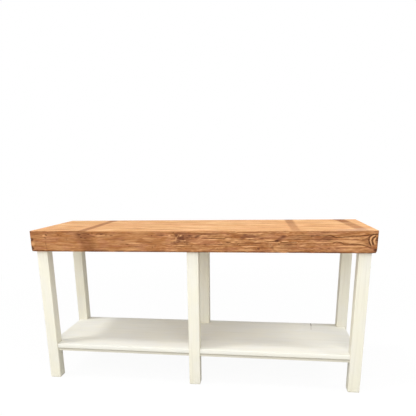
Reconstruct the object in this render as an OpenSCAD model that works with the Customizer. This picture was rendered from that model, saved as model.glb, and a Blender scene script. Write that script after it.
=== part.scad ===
// Open console sideboard: a hollow top of mitred rustic boards over a painted frame
// of six square legs, with one low shelf notched round the legs.
// Millimetres. Front is towards -Y, +Z is up, the origin is on the floor under the middle.

/* [Top] */
// Length of the top, left to right
top_w = 1830; // [1500:10:2200]
// Depth of the top, front to back
top_d = 570; // [480:5:700]
// Height from the floor to the top surface
total_h = 886; // [740:1:980]
// Height of the front, back and end boards of the top
box_h = 114; // [108:1:160]
// Thickness of every board of the top
board_t = 19; // [16:0.5:28]
// Open seam between neighbouring top planks
plank_gap = 0.4; // [0.2:0.1:1]
// Width of the battens under the top planks
batten_w = 58; // [40:1:80]
// Thickness of the battens
batten_t = 19; // [16:0.5:28]
// Free play between the hollow top and what stands inside it
box_clear = 0.5; // [0.2:0.1:0.9]

/* [Legs] */
// Side of the square legs
leg_s = 62; // [58:1:80]
// Flat on each long arris of a leg
leg_ease = 2; // [0.5:0.25:4]
// Sideways place of the middle pair of legs
mid_leg_x = -12; // [-80:1:80]

/* [Upper frame] */
// Height of the rails hidden inside the top
up_rail_h = 64; // [50:1:72]
// Thickness of the rails hidden inside the top
up_rail_t = 19; // [16:0.5:28]

/* [Shelf] */
// Height from the floor to the shelf surface
shelf_z = 216; // [150:1:400]
// Thickness of the shelf planks
shelf_t = 25; // [20:0.5:35]
// Step back of the shelf's front and back edges from the leg faces
shelf_edge_in = 5; // [2:0.5:14]
// Step in of the shelf's ends from the outer leg faces
shelf_end_in = 12; // [4:0.5:20]
// Open seam between neighbouring shelf planks
shelf_gap = 0.4; // [0.2:0.1:1]
// Play between the shelf and the legs in its notches
notch_clear = 0.5; // [0.2:0.1:0.9]
// Width of the flat rails under the shelf
low_rail_w = 38; // [32:1:50]
// Thickness of the flat rails under the shelf
low_rail_t = 19; // [16:0.5:28]

/* [Dowels] */
// Diameter of the dowels
dowel_d = 8; // [6:0.5:10]
// Length of the dowels, half of it in each piece
dowel_len = 30; // [20:1:32]
// Distance between the two dowels of an upper joint
up_dowel_pitch = 34; // [24:1:38]
// Distance between the two dowels of a lower joint
low_dowel_pitch = 18; // [14:1:20]
// Radial play of a dowel in its bore
dowel_clear = 0.1; // [0.05:0.05:0.3]
// Space left at each end of a dowel for glue
dowel_end_gap = 1; // [0.5:0.25:2]

/* [Screws] */
// Diameter of the screw shanks
screw_d = 4; // [3:0.5:5]
// Diameter of the countersunk heads
screw_head_d = 8; // [7:0.5:10]
// Height of the countersunk heads
screw_head_h = 2.6; // [2:0.1:4]
// Side of the square drive in each head
screw_drive = 2.4; // [1.5:0.1:3]
// Length of the screws from the battens into the planks
batten_screw_len = 32; // [25:1:35]
// Length of the screws from the upper rails into the boards round the top
board_screw_len = 32; // [25:1:35]
// Length of the screws from the lower rails into the shelf
shelf_screw_len = 36; // [28:1:40]
// Distance between the two screws in each plank
plank_screw_pitch = 70; // [40:5:80]
// Distance of the end screws from the ends of a long rail
rail_screw_in = 90; // [60:5:160]
// Radial play of a screw in its bore
screw_clear = 0.15; // [0.05:0.05:0.3]
// Space left past the tip of a screw
screw_tip_gap = 1; // [0.5:0.25:2]

/* [Hidden] */

$fn = 32;
plank_count = 4;      // planks in the top and in the shelf
columns = [0, 1, 2];  // columns of legs, left to right
end_columns = [0, 2]; // the two outer ones
rows = [0, 1];        // rows of legs, front to back
bays = [0, 1];        // spaces between the columns
over = 1;             // how far a cutting shape runs past the face it opens
screw_tip_h = 5;      // length of a screw's tapered tip
screw_tip_d = 1;      // blunt end of the tip
screw_drive_h = 1.6;  // depth of the square drive

rustic_wood = [0.76, 0.52, 0.33];
bare_pine = [0.86, 0.74, 0.56];
white_paint = [0.95, 0.93, 0.87];
beech = [0.82, 0.66, 0.46];
steel = [0.70, 0.70, 0.72];

// Outer faces of the top
left_x = -top_w / 2;
right_x = top_w / 2;
front_y = -top_d / 2;
back_y = top_d / 2;

// Levels
box_z = total_h - box_h;
plank_z = total_h - board_t;
leg_h = plank_z - batten_t;
up_rail_zc = leg_h - up_rail_h / 2;
shelf_low_z = shelf_z - shelf_t;
low_rail_z = shelf_low_z - low_rail_t;
low_rail_zc = shelf_low_z - low_rail_t / 2;

// Leg centres: three columns left to right, two rows front to back
leg_in = board_t + box_clear;
leg_x = [left_x + leg_in + leg_s / 2, mid_leg_x, right_x - leg_in - leg_s / 2];
leg_y = [front_y + leg_in + leg_s / 2, back_y - leg_in - leg_s / 2];

// Ends of the rails: where they meet the legs
function long_ends(bay) = [leg_x[bay] + leg_s / 2, leg_x[bay + 1] - leg_s / 2];
cross_ends = [leg_y[0] + leg_s / 2, leg_y[1] - leg_s / 2];

// The hidden upper rails lie flush with the outer faces of the legs, the middle one is central
function up_cross_x(col) = leg_x[col] + (col - 1) * (leg_s - up_rail_t) / 2;
function up_rail_y(row) = leg_y[row] + (2 * row - 1) * (leg_s - up_rail_t) / 2;

// Planks of the top and of the shelf
top_plank_w = (top_d - (plank_count - 1) * plank_gap) / plank_count;
function top_plank_y(k) = front_y + k * (top_plank_w + plank_gap);
shelf_y = front_y + leg_in + shelf_edge_in;
shelf_plank_w = (2 * abs(shelf_y) - (plank_count - 1) * shelf_gap) / plank_count;
function shelf_plank_y(k) = shelf_y + k * (shelf_plank_w + shelf_gap);

// Battens: one over each pair of legs and one in the middle of each bay
batten_x = [leg_x[0], (leg_x[0] + leg_x[1]) / 2, leg_x[1], (leg_x[1] + leg_x[2]) / 2, leg_x[2]];

// Dowel centres, which lie on the face where a rail meets a leg
function up_long_dowels(bay, row, ends = [0, 1]) = [
    for (e = ends, s = [-1, 1])
        [long_ends(bay)[e], up_rail_y(row), up_rail_zc + s * up_dowel_pitch / 2]
];
function low_long_dowels(bay, row, ends = [0, 1]) = [
    for (e = ends, s = [-1, 1])
        [long_ends(bay)[e], leg_y[row] + s * low_dowel_pitch / 2, low_rail_zc]
];
function up_cross_dowels(col, ends = [0, 1]) = [
    for (e = ends, s = [-1, 1])
        [up_cross_x(col), cross_ends[e], up_rail_zc + s * up_dowel_pitch / 2]
];
function low_cross_dowels(col, ends = [0, 1]) = [
    for (e = ends, s = [-1, 1])
        [leg_x[col] + s * low_dowel_pitch / 2, cross_ends[e], low_rail_zc]
];

// Screw places: the middle of each head's flat face
function pair(middle, pitch) = [middle - pitch / 2, middle + pitch / 2];
batten_screw_y = [
    for (k = [0 : plank_count - 1], y = pair(top_plank_y(k) + top_plank_w / 2, plank_screw_pitch)) y
];
function long_screw_x(bay) = let (e = long_ends(bay))
    [e[0] + rail_screw_in, (e[0] + e[1]) / 2, e[1] - rail_screw_in];
cross_screw_y = [cross_ends[0] + rail_screw_in, cross_ends[1] - rail_screw_in];
shelf_cross_screw_y = [
    for (k = [0 : plank_count - 1], y = pair(shelf_plank_y(k) + shelf_plank_w / 2, plank_screw_pitch))
        if (abs(y) < cross_ends[1] - dowel_len / 2 - dowel_end_gap - screw_head_d) y
];

// Bars of one radius through a list of centres, along X or along Y
module bars_x(centres, r, len) {
    for (c = centres) translate(c) rotate([0, 90, 0]) cylinder(r = r, h = len, center = true);
}

module bars_y(centres, r, len) {
    for (c = centres) translate(c) rotate([90, 0, 0]) cylinder(r = r, h = len, center = true);
}

module dowel_bores_x(centres) {
    bars_x(centres, dowel_d / 2 + dowel_clear, dowel_len + 2 * dowel_end_gap);
}

module dowel_bores_y(centres) {
    bars_y(centres, dowel_d / 2 + dowel_clear, dowel_len + 2 * dowel_end_gap);
}

// Countersunk wood screw that points along +Z, with its head's flat at the origin
module screw(len) {
    difference() {
        union() {
            cylinder(d1 = screw_head_d, d2 = screw_d, h = screw_head_h);
            cylinder(d = screw_d, h = len - screw_tip_h);
            translate([0, 0, len - screw_tip_h])
                cylinder(d1 = screw_d, d2 = screw_tip_d, h = screw_tip_h);
        }
        translate([-screw_drive / 2, -screw_drive / 2, -over])
            cube([screw_drive, screw_drive, screw_drive_h + over]);
    }
}

// Countersink and pilot hole for the same screw
module screw_bore(len) {
    play = 2 * screw_clear;
    cylinder(d1 = screw_head_d + play, d2 = screw_d + play, h = screw_head_h);
    translate([0, 0, -over]) cylinder(d = screw_head_d + play, h = over);
    cylinder(d = screw_d + play, h = len + screw_tip_gap);
}

// Places the children at each screw from the battens up into the planks
module at_batten_screws(battens = [0 : len(batten_x) - 1], ys = batten_screw_y) {
    for (i = battens, y = ys) translate([batten_x[i], y, leg_h]) children();
}

// The same for the screws through a long upper rail into the front or back board
module at_board_screws_long(bay, row) {
    head_y = up_rail_y(row) + (1 - 2 * row) * up_rail_t / 2;
    for (x = long_screw_x(bay))
        translate([x, head_y, up_rail_zc]) rotate([row == 0 ? 90 : -90, 0, 0]) children();
}

// The same for the screws through an end cross rail into an end board
module at_board_screws_cross(col) {
    head_x = up_cross_x(col) + (1 - col) * up_rail_t / 2;
    for (y = cross_screw_y)
        translate([head_x, y, up_rail_zc]) rotate([0, col == 0 ? -90 : 90, 0]) children();
}

// The same for the screws up through the lower rails into the shelf
module at_shelf_screws_long(bay, row) {
    for (x = long_screw_x(bay)) translate([x, leg_y[row], low_rail_z]) children();
}

module at_shelf_screws_cross(col) {
    for (y = shelf_cross_screw_y) translate([leg_x[col], y, low_rail_z]) children();
}

// Section of the hollow top across one of its sides: a prism whose faces slope at 45 degrees
// where two boards meet, given its half length and its distance out from the middle
module mitred_side(half_len, out, height) {
    intersection() {
        linear_extrude(height)
            polygon([
                [-half_len, -out], [half_len, -out],
                [half_len - board_t, board_t - out], [board_t - half_len, board_t - out]
            ]);
        translate([-half_len, 0, 0]) rotate([90, 0, 90])
            linear_extrude(2 * half_len)
                polygon([
                    [-out, 0], [board_t - out, 0], [board_t - out, height - board_t], [-out, height]
                ]);
    }
}

// Slab of the top with all four edges mitred, which the planks are cut from
module mitred_slab() {
    intersection() {
        translate([left_x, 0, 0]) rotate([90, 0, 90])
            linear_extrude(top_w)
                polygon([
                    [front_y, total_h], [back_y, total_h],
                    [back_y - board_t, plank_z], [front_y + board_t, plank_z]
                ]);
        translate([0, back_y, 0]) rotate([90, 0, 0])
            linear_extrude(top_d)
                polygon([
                    [left_x, total_h], [right_x, total_h],
                    [right_x - board_t, plank_z], [left_x + board_t, plank_z]
                ]);
    }
}

module top_plank(k) {
    color(rustic_wood) difference() {
        intersection() {
            mitred_slab();
            translate([left_x, top_plank_y(k), plank_z]) cube([top_w, top_plank_w, board_t]);
        }
        at_batten_screws(ys = pair(top_plank_y(k) + top_plank_w / 2, plank_screw_pitch))
            screw_bore(batten_screw_len);
    }
}

module long_apron(row) {
    color(rustic_wood) difference() {
        translate([0, 0, box_z]) rotate([0, 0, 180 * row])
            mitred_side(top_w / 2, top_d / 2, box_h);
        for (bay = bays) at_board_screws_long(bay, row) screw_bore(board_screw_len);
    }
}

module end_board(col) {
    color(rustic_wood) difference() {
        translate([0, 0, box_z]) rotate([0, 0, col == 0 ? -90 : 90])
            mitred_side(top_d / 2, top_w / 2, box_h);
        at_board_screws_cross(col) screw_bore(board_screw_len);
    }
}

module batten(i) {
    half_l = top_d / 2 - board_t - box_clear;
    color(bare_pine) difference() {
        translate([batten_x[i] - batten_w / 2, -half_l, leg_h]) cube([batten_w, 2 * half_l, batten_t]);
        at_batten_screws([i]) screw_bore(batten_screw_len);
    }
}

// One leg, by its column from the left and its row from the front
module leg(col, row) {
    half = leg_s / 2;
    flat = half - leg_ease;
    right_bay = col < 2 ? [col] : [];
    left_bay = col > 0 ? [col - 1] : [];
    color(white_paint) difference() {
        translate([leg_x[col], leg_y[row], 0])
            linear_extrude(leg_h)
                polygon([
                    [-flat, -half], [flat, -half], [half, -flat], [half, flat],
                    [flat, half], [-flat, half], [-half, flat], [-half, -flat]
                ]);
        for (bay = right_bay)
            dowel_bores_x(concat(up_long_dowels(bay, row, [0]), low_long_dowels(bay, row, [0])));
        for (bay = left_bay)
            dowel_bores_x(concat(up_long_dowels(bay, row, [1]), low_long_dowels(bay, row, [1])));
        dowel_bores_y(concat(up_cross_dowels(col, [row]), low_cross_dowels(col, [row])));
    }
}

module upper_rail(bay, row) {
    e = long_ends(bay);
    color(bare_pine) difference() {
        translate([e[0], up_rail_y(row) - up_rail_t / 2, leg_h - up_rail_h])
            cube([e[1] - e[0], up_rail_t, up_rail_h]);
        dowel_bores_x(up_long_dowels(bay, row));
        at_board_screws_long(bay, row) screw_bore(board_screw_len);
    }
}

module upper_cross(col) {
    color(bare_pine) difference() {
        translate([up_cross_x(col) - up_rail_t / 2, cross_ends[0], leg_h - up_rail_h])
            cube([up_rail_t, cross_ends[1] - cross_ends[0], up_rail_h]);
        dowel_bores_y(up_cross_dowels(col));
        if (col != 1) at_board_screws_cross(col) screw_bore(board_screw_len);
    }
}

module lower_rail(bay, row) {
    e = long_ends(bay);
    color(white_paint) difference() {
        translate([e[0], leg_y[row] - low_rail_w / 2, low_rail_z])
            cube([e[1] - e[0], low_rail_w, low_rail_t]);
        dowel_bores_x(low_long_dowels(bay, row));
        at_shelf_screws_long(bay, row) screw_bore(shelf_screw_len);
    }
}

module lower_cross(col) {
    color(white_paint) difference() {
        translate([leg_x[col] - low_rail_w / 2, cross_ends[0], low_rail_z])
            cube([low_rail_w, cross_ends[1] - cross_ends[0], low_rail_t]);
        dowel_bores_y(low_cross_dowels(col));
        at_shelf_screws_cross(col) screw_bore(shelf_screw_len);
    }
}

// One plank of the shelf, notched round the legs that stand in it
module shelf_plank(k) {
    half_l = top_w / 2 - leg_in - shelf_end_in;
    notch = leg_s + 2 * notch_clear;
    color(white_paint) difference() {
        translate([-half_l, shelf_plank_y(k), shelf_low_z]) cube([2 * half_l, shelf_plank_w, shelf_t]);
        for (x = leg_x, y = leg_y)
            translate([x - notch / 2, y - notch / 2, shelf_low_z - over])
                cube([notch, notch, shelf_t + 2 * over]);
        for (bay = bays, row = rows) at_shelf_screws_long(bay, row) screw_bore(shelf_screw_len);
        for (col = columns) at_shelf_screws_cross(col) screw_bore(shelf_screw_len);
    }
}

module upper_dowels() {
    color(beech) {
        for (bay = bays, row = rows) bars_x(up_long_dowels(bay, row), dowel_d / 2, dowel_len);
        for (col = columns) bars_y(up_cross_dowels(col), dowel_d / 2, dowel_len);
    }
}

module lower_dowels() {
    color(beech) {
        for (bay = bays, row = rows) bars_x(low_long_dowels(bay, row), dowel_d / 2, dowel_len);
        for (col = columns) bars_y(low_cross_dowels(col), dowel_d / 2, dowel_len);
    }
}

module batten_screws() {
    color(steel) at_batten_screws() screw(batten_screw_len);
}

module board_screws() {
    color(steel) {
        for (bay = bays, row = rows) at_board_screws_long(bay, row) screw(board_screw_len);
        for (col = end_columns) at_board_screws_cross(col) screw(board_screw_len);
    }
}

module shelf_screws() {
    color(steel) {
        for (bay = bays, row = rows) at_shelf_screws_long(bay, row) screw(shelf_screw_len);
        for (col = columns) at_shelf_screws_cross(col) screw(shelf_screw_len);
    }
}

top_plank(0);  // top_plank_front
top_plank(1);  // top_plank_mid_front
top_plank(2);  // top_plank_mid_back
top_plank(3);  // top_plank_back
long_apron(0);  // front_apron
long_apron(1);  // back_apron
end_board(0);  // left_end_board
end_board(2);  // right_end_board
batten(0);  // batten_left
batten(1);  // batten_left_bay
batten(2);  // batten_middle
batten(3);  // batten_right_bay
batten(4);  // batten_right
leg(0, 0);  // leg_front_left
leg(1, 0);  // leg_front_middle
leg(2, 0);  // leg_front_right
leg(0, 1);  // leg_back_left
leg(1, 1);  // leg_back_middle
leg(2, 1);  // leg_back_right
upper_rail(0, 0);  // upper_rail_front_left
upper_rail(1, 0);  // upper_rail_front_right
upper_rail(0, 1);  // upper_rail_back_left
upper_rail(1, 1);  // upper_rail_back_right
upper_cross(0);  // upper_cross_left
upper_cross(1);  // upper_cross_middle
upper_cross(2);  // upper_cross_right
lower_rail(0, 0);  // lower_rail_front_left
lower_rail(1, 0);  // lower_rail_front_right
lower_rail(0, 1);  // lower_rail_back_left
lower_rail(1, 1);  // lower_rail_back_right
lower_cross(0);  // lower_cross_left
lower_cross(1);  // lower_cross_middle
lower_cross(2);  // lower_cross_right
shelf_plank(0);  // shelf_plank_front
shelf_plank(1);  // shelf_plank_mid_front
shelf_plank(2);  // shelf_plank_mid_back
shelf_plank(3);  // shelf_plank_back
upper_dowels();
lower_dowels();
batten_screws();
board_screws();
shelf_screws();
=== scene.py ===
import itertools
import math

import bpy
import numpy as np
from mathutils import Matrix, Vector


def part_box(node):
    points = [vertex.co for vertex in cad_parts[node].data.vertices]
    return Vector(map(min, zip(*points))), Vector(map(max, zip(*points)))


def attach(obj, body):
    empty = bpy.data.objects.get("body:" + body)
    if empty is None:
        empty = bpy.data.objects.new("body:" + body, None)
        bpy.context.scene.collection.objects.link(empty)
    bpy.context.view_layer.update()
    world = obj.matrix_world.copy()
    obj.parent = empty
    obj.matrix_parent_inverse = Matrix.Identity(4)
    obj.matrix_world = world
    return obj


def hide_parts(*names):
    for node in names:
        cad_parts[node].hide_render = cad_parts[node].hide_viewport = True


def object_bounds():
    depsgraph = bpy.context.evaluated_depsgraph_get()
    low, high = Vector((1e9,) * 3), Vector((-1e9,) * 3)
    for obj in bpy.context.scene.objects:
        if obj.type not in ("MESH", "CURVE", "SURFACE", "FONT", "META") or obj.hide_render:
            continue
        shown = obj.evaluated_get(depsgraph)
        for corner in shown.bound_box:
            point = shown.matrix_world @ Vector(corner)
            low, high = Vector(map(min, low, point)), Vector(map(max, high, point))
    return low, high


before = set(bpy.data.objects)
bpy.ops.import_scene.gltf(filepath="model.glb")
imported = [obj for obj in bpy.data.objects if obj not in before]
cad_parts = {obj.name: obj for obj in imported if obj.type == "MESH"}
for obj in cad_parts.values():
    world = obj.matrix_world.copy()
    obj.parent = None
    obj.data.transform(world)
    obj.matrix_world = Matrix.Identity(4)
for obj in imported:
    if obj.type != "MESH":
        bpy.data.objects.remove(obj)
cadBounds = [list(corner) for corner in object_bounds()]
mm = 0.001
print("frame loaded:", len(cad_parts), "nodes")


# Helpers for meshes

def smoothStep(t):
    # Eases a share that runs from 0 to 1 so that both its ends are level: 3t^2 - 2t^3
    return t * t * (3 - 2 * t)


def latticeNoise(points, cell, seed):
    # Random heights from -1 to 1 on a lattice of the cell size, eased between its corners. A
    # corner's height comes from its three numbers and the seed, mixed by large odd factors.
    scaled = points / np.asarray(cell)
    corner0 = np.floor(scaled).astype(np.int64)
    share = smoothStep(scaled - corner0)
    total = np.zeros(len(points))
    for step in itertools.product((0, 1), repeat=3):
        key = (corner0 + step) * [73856093, 19349663, 83492791]
        mixed = key[:, 0] ^ key[:, 1] ^ key[:, 2] ^ (seed * 6542989)
        mixed = ((mixed ^ (mixed >> 13)) * 1274126177) & 0xFFFFFFFF
        height = ((mixed ^ (mixed >> 16)) & 0xFFFF) / 32767.5 - 1
        total += height * np.prod(np.where(step, share, 1 - share), axis=1)
    return total


def twoNoises(points, coarseCell, fineCell, seed):
    return latticeNoise(points, coarseCell, seed) + 0.5 * latticeNoise(points, fineCell, seed + 1)


def ruler(length, step, edge):
    # Positions from 0 to length: four short steps inside the edge at both ends, even ones between
    near = edge * np.array([0, 0.25, 0.5, 0.75])
    count = max(2, round((length - 2 * edge) / step) + 1)
    return np.concatenate([near, np.linspace(edge, length - edge, count), length - near[::-1]])


def boxNet(us, vs, ws):
    # The skin of a block of lattice points, each used once, with its six sides' quads turned outwards
    shape = (len(us), len(vs), len(ws))
    i, j, k = np.indices(shape)
    skin = np.zeros(shape, bool)
    for axis in range(3):
        for side in (0, -1):
            np.moveaxis(skin, axis, 0)[side] = True
    number = np.full(shape, -1)
    number[skin] = np.arange(skin.sum())
    points = np.stack([us[i[skin]], vs[j[skin]], ws[k[skin]]], 1)
    quads = []
    for axis in range(3):
        for side in (0, -1):
            sheet = np.take(number, side, axis)
            corners = [sheet[:-1, :-1], sheet[1:, :-1], sheet[1:, 1:], sheet[:-1, 1:]]
            quad = np.stack(corners, -1).reshape(-1, 4)
            outward = (side == -1) != (axis == 1)
            quads.append(quad if outward else quad[:, ::-1])
    return points, np.concatenate(quads)


def easeBox(points, low, high, radius):
    # Rounds a box: a point is drawn towards the box shrunk by the radius, until it lies no
    # further from it than the radius. Gives the new points and the outward directions.
    radius = np.broadcast_to(np.asarray(radius, float), (len(points),))[:, None]
    core = np.clip(points, low + radius, high - radius)
    away = points - core
    far = np.linalg.norm(away, axis=1, keepdims=True)
    outward = away / np.maximum(far, 1e-9)
    return core + outward * np.minimum(far, radius), outward


def arrisDistance(points, low, high):
    # How far a point of a box's skin is from the nearest arris: its second smallest depth
    depths = np.minimum(points - low, high - points)
    return np.sort(depths, axis=1)[:, 1]


def fallOff(radius, core):
    # 1 inside the core, easing to 0 where the radius reaches 1
    return smoothStep(np.clip((1 - radius) / (1 - core), 0, 1))


def drawMarks(x, y, marks):
    # How strongly one kind of mark covers each place, from 0 to 1: the strongest of its ovals,
    # lines and rims there. The places are pushed about by noise first, so that rims are ragged.
    flat = np.stack([x, y, np.zeros_like(x)], 1)

    def push(cell, reach, seed):
        return reach * twoNoises(flat, (*cell, 1), (cell[0] / 2.3, cell[1] / 2.3, 1), seed)

    mask = np.zeros_like(x)
    core = marks.get("core", 0.1)
    raggedX, raggedY = x + push((14, 6), 3.0, 21), y + push((14, 6), 1.4, 23)
    for centreX, centreY, halfLength, halfWidth, tilt, strength in marks.get("ovals", []):
        lean = math.radians(tilt)
        awayX, awayY = raggedX - centreX, raggedY - centreY
        alongOval = awayX * math.cos(lean) + awayY * math.sin(lean)
        acrossOval = awayY * math.cos(lean) - awayX * math.sin(lean)
        radius = np.hypot(alongOval / halfLength, acrossOval / halfWidth)
        mask = np.maximum(mask, strength * fallOff(radius, core))
    swayedX, swayedY = x + push((26, 14), 1.5, 25), y + push((26, 14), 1.1, 27)
    for halfWidth, strength, *points in marks.get("lines", []):
        for start, end in zip(points, points[1:]):
            wayX, wayY = end[0] - start[0], end[1] - start[1]
            awayX, awayY = swayedX - start[0], swayedY - start[1]
            share = np.clip((awayX * wayX + awayY * wayY) / (wayX ** 2 + wayY ** 2), 0, 1)
            gap = np.hypot(awayX - share * wayX, awayY - share * wayY)
            mask = np.maximum(mask, strength * fallOff(gap / halfWidth, core))
    for height, halfWidth, share, strength in marks.get("rims", []):
        radius = np.abs(y - height + push((34, 34), 1.6, 29)) / halfWidth
        breaks = 0.5 + 0.5 * push((46, 46), 0.8, 31 + int(-height))
        kept = np.clip((share - breaks) / 0.2 + 0.5, 0, 1)
        mask = np.maximum(mask, strength * kept * fallOff(radius, core))
    return mask


def makePiece(node, ending, points, quads, material, layers):
    # The piece that stands for a node. Its layers are attributes, which its material reads.
    name = node + ending
    mesh = bpy.data.meshes.new(name)
    mesh.vertices.add(len(points))
    mesh.vertices.foreach_set("co", np.asarray(points, np.float32).ravel())
    mesh.loops.add(quads.size)
    mesh.loops.foreach_set("vertex_index", quads.astype(np.int32).ravel())
    mesh.polygons.add(len(quads))
    mesh.polygons.foreach_set("loop_start", np.arange(0, quads.size, 4, dtype=np.int32))
    mesh.update(calc_edges=True)
    mesh.validate()
    for label, values in layers.items():
        layer = mesh.attributes.new(label, "FLOAT", "POINT")
        layer.data.foreach_set("value", np.clip(values, 0, 1).astype(np.float32))
    mesh.shade_smooth()
    mesh.set_sharp_from_angle(angle=math.radians(40))
    piece = bpy.data.objects.new(name, mesh)
    bpy.context.scene.collection.objects.link(piece)
    mesh.materials.append(material)
    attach(piece, "root")
    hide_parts(node)


# Helpers for shader nodes

def rgb(red, green, blue):
    # A colour read off as 0 to 255, as the shader wants it
    shares = np.array([red, green, blue]) / 255
    linear = np.where(shares <= 0.04045, shares / 12.92, ((shares + 0.055) / 1.055) ** 2.4)
    return (*linear.tolist(), 1.0)


def treeOf(values):
    # The node tree that the first socket among the values belongs to
    return next(value.id_data for value in values if isinstance(value, bpy.types.NodeSocket))


def addNode(tree, kind, inputs=None, **settings):
    node = tree.nodes.new(kind)
    for name, value in settings.items():
        setattr(node, name, value)
    for socket, value in (inputs or {}).items():
        if isinstance(value, bpy.types.NodeSocket):
            tree.links.new(value, node.inputs[socket])
        else:
            node.inputs[socket].default_value = value
    return node


def calc(operation, *terms, clamp=False):
    inputs = dict(enumerate(terms))
    return addNode(treeOf(terms), "ShaderNodeMath", inputs, operation=operation, use_clamp=clamp).outputs[0]


def times(product, *factors, clamp=False):
    for factor in factors:
        product = calc("MULTIPLY", product, factor, clamp=clamp)
    return product


def timesPlus(value, factor, rest):
    return calc("MULTIPLY_ADD", value, factor, rest)


def sumUp(total, *parts):
    # The total plus each part's value times its share
    for value, share in parts:
        total = timesPlus(value, share, total)
    return total


def vectorCalc(operation, *terms):
    # A scaling takes its factor after the vector; a length and a dot product are plain numbers
    inputs = dict(zip((0, "Scale") if operation == "SCALE" else (0, 1), terms))
    outputs = addNode(treeOf(terms), "ShaderNodeVectorMath", inputs, operation=operation).outputs
    return outputs["Value" if operation in ("LENGTH", "DOT_PRODUCT") else "Vector"]


def ramp(value, low, high, toLow=0.0, toHigh=1.0):
    inputs = {"Value": value, "From Min": low, "From Max": high, "To Min": toLow, "To Max": toHigh}
    return addNode(value.id_data, "ShaderNodeMapRange", inputs, interpolation_type="SMOOTHSTEP").outputs[0]


def mixColor(factor, first, second, mode="MIX"):
    inputs = {0: factor, 6: first, 7: second}
    node = addNode(treeOf(inputs.values()), "ShaderNodeMix", inputs, data_type="RGBA", blend_type=mode)
    return node.outputs[2]


# The patterns' blotches: how many metres long, wide and deep, then the noise's detail and roughness
patterns = {
    "slowWave": ((0.42, 0.09, 0.09), 2.0, 0.5), "quickWave": ((0.07, 0.02, 0.02), 2.0, 0.5),
    "fibre": ((0.09, 0.0024, 0.0024), 4.0, 0.62), "ticks": ((0.026, 0.005, 0.005), 2.0, 0.5),
    "streaks": ((0.11, 0.007, 0.007), 3.0, 0.6), "pores": ((0.014, 0.0011, 0.0011), 1.0, 0.5),
    "splits": ((0.11, 0.0045, 0.0045), 2.0, 0.45), "splitPlaces": ((0.25, 0.05, 0.05), 1.0, 0.5),
    "cloud": ((0.13, 0.024, 0.024), 3.0, 0.6), "blush": ((0.09, 0.028, 0.028), 3.0, 0.55),
    "broadWear": ((0.05, 0.02, 0.02), 2.0, 0.5), "fineWear": ((0.006, 0.003, 0.003), 2.0, 0.5),
    "strokes": ((0.22, 0.0035, 0.0035), 3.0, 0.6), "grain": ((0.35, 0.011, 0.011), 2.0, 0.5),
    "mottle": ((0.16, 0.09, 0.09), 2.0, 0.5), "scuffs": ((0.03, 0.03, 0.02), 3.0, 0.6),
    "scratches": ((0.004, 0.0003, 0.0003), 2.0, 0.5), "dullSpots": ((0.002, 0.002, 0.002), 2.0, 0.5)}


def noise(vector, pattern):
    # Noise from 0 to 1 in the pattern's blotches
    size, detail, roughness = patterns[pattern]
    scaled = vectorCalc("MULTIPLY", vector, tuple(1 / side for side in size))
    inputs = {"Vector": scaled, "Scale": 1.0, "Detail": detail, "Roughness": roughness}
    return addNode(vector.id_data, "ShaderNodeTexNoise", inputs).outputs["Fac"]


def startGroup(name, inputs):
    # A new node group's inputs: a number makes a float one, None or three numbers a vector one
    tree = bpy.data.node_groups.new(name, "ShaderNodeTree")
    for label, value in inputs.items():
        kind = "NodeSocketFloat" if isinstance(value, float) else "NodeSocketVector"
        socket = tree.interface.new_socket(label, in_out="INPUT", socket_type=kind)
        if value is not None:
            socket.default_value = value
    return tree, tree.nodes.new("NodeGroupInput").outputs


def endGroup(tree, results):
    # Puts the results out of the group under their labels
    for label, source in results.items():
        kind = "NodeSocketVector" if source.type == "VECTOR" else "NodeSocketFloat"
        tree.interface.new_socket(label, in_out="OUTPUT", socket_type=kind)
    addNode(tree, "NodeGroupOutput", results)
    return tree


def useGroup(group, inputs):
    return addNode(treeOf(inputs.values()), "ShaderNodeGroup", inputs, node_tree=group).outputs


# Shared effects as node groups

def makeRaggedShift():
    # Pushes a pattern's coordinates about, so that what is placed in them gets a ragged rim
    tree, given = startGroup("raggedShift", {"Vector": None, "Length": 0.03, "Height": 0.008, "Shift": 0.006})
    size = addNode(tree, "ShaderNodeCombineXYZ", {0: given["Length"], 1: given["Height"], 2: given["Height"]})
    scaled = vectorCalc("DIVIDE", given["Vector"], size.outputs[0])
    cloud = addNode(tree, "ShaderNodeTexNoise", {"Vector": scaled, "Scale": 1.0, "Detail": 3.0})
    centred = vectorCalc("SUBTRACT", cloud.outputs["Color"], (0.5, 0.5, 0.5))
    push = vectorCalc("SCALE", centred, given["Shift"])
    return endGroup(tree, {"Vector": vectorCalc("ADD", given["Vector"], push)})


def makeStroke():
    # A line between two points, full in its middle and soft towards its half width. Its point
    # nearest to a place is the start plus the clamped share of the way along.
    tree, given = startGroup("stroke", {
        "Vector": None, "Start": None, "Way": (0.1, 0.0, 0.0), "Half width": 0.002})
    away = vectorCalc("SUBTRACT", given["Vector"], given["Start"])
    dots = [vectorCalc("DOT_PRODUCT", first, given["Way"]) for first in (away, given["Way"])]
    reached = vectorCalc("SCALE", given["Way"], calc("DIVIDE", *dots, clamp=True))
    distance = vectorCalc("LENGTH", vectorCalc("SUBTRACT", away, reached))
    radius = calc("DIVIDE", distance, given["Half width"])
    return endGroup(tree, {"Mask": ramp(radius, 0.3, 1.0, 1.0, 0.0)})


def makeFray():
    # Thins an attribute's marks out along the grain, so that they are no smoother than the wood:
    # times 2.6 less 1.6 of the fibres and 1.6 of the streaks, which are both about a half
    tree, given = startGroup("fray", {"Mask": 0.0, "Fibre": 0.5, "Streaks": 0.5})
    share = sumUp(2.6, (given["Fibre"], -1.6), (given["Streaks"], -1.6))
    return endGroup(tree, {"Mask": times(given["Mask"], share, clamp=True)})


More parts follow.
